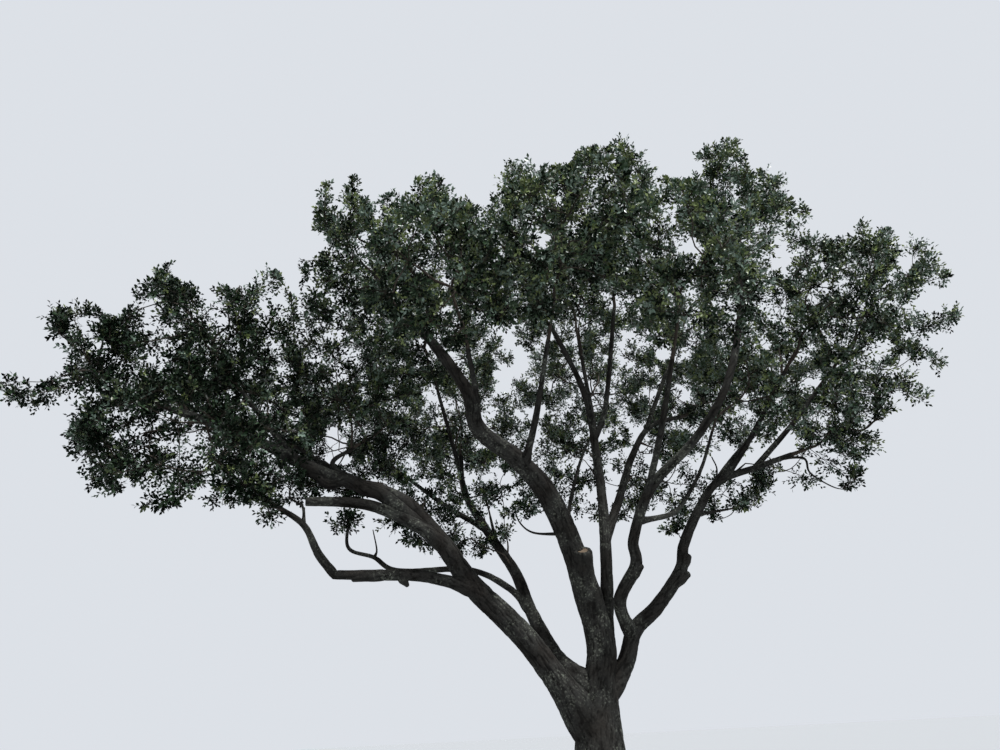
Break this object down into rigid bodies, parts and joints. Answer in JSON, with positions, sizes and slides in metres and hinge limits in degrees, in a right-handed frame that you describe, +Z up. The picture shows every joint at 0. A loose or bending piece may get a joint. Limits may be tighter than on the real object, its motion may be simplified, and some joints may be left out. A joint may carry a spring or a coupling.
{
  "type": "live oak tree",
  "caption": "Broad southern live oak with a short flared trunk, long leaning boughs and a wide open crown of small dark leaves.",
  "frame": {"origin": "centre of the flat cut at the foot of the trunk, at ground level", "axes": "+Z up the tree, +X across the crown's width towards its right-hand end as seen from the side the picture shows, +Y away from that side"},
  "size_m": [18.6177, 12.7294, 13.2008],
  "materials": {
    "bark": "rough furrowed grey-brown bark",
    "foliage": "small leathery dark green leaves on thin brown twigs"
  },
  "bodies": {
    "root": {"trunk": "bark", "left_bough": "bark", "left_high_bough": "bark", "left_back_bough": "bark", "left_inner_bough": "bark", "sawn_bough": "bark", "lower_left_limb": "bark", "lower_left_limb_end": "bark", "second_left_bough": "bark", "far_left_bough": "bark", "left_top_bough": "bark", "under_left_bough": "bark", "crooked_limb": "bark", "centre_bough": "bark", "front_left_bough": "bark", "front_bough": "bark", "middle_bough": "bark", "top_bough": "bark", "top_back_bough": "bark", "back_bough": "bark", "right_centre_bough": "bark", "right_top_bough": "bark", "right_bough": "bark", "third_bough": "bark", "front_right_bough": "bark", "crossing_bough": "bark", "right_shoulder_bough": "bark", "right_tip_bough": "bark", "right_back_bough": "bark", "under_right_bough": "bark", "leaves_left_tip": "foliage", "leaves_left_high": "foliage", "leaves_left_low": "foliage", "leaves_left_back": "foliage", "leaves_left_inner": "foliage", "leaves_left_shoulder": "foliage", "leaves_left_top": "foliage", "leaves_far_left": "foliage", "leaves_back_left": "foliage", "leaves_under_left": "foliage", "leaves_front_left": "foliage", "leaves_front": "foliage", "leaves_front_right": "foliage", "leaves_top_left": "foliage", "leaves_top": "foliage", "leaves_top_back": "foliage", "leaves_back": "foliage", "leaves_top_right": "foliage", "leaves_right_top": "foliage", "leaves_back_right": "foliage", "leaves_right_shoulder": "foliage", "leaves_right_tip": "foliage", "leaves_right_back": "foliage", "leaves_right_low": "foliage", "leaves_right_inner": "foliage", "leaves_under_right": "foliage"}
  },
  "joints": []
}
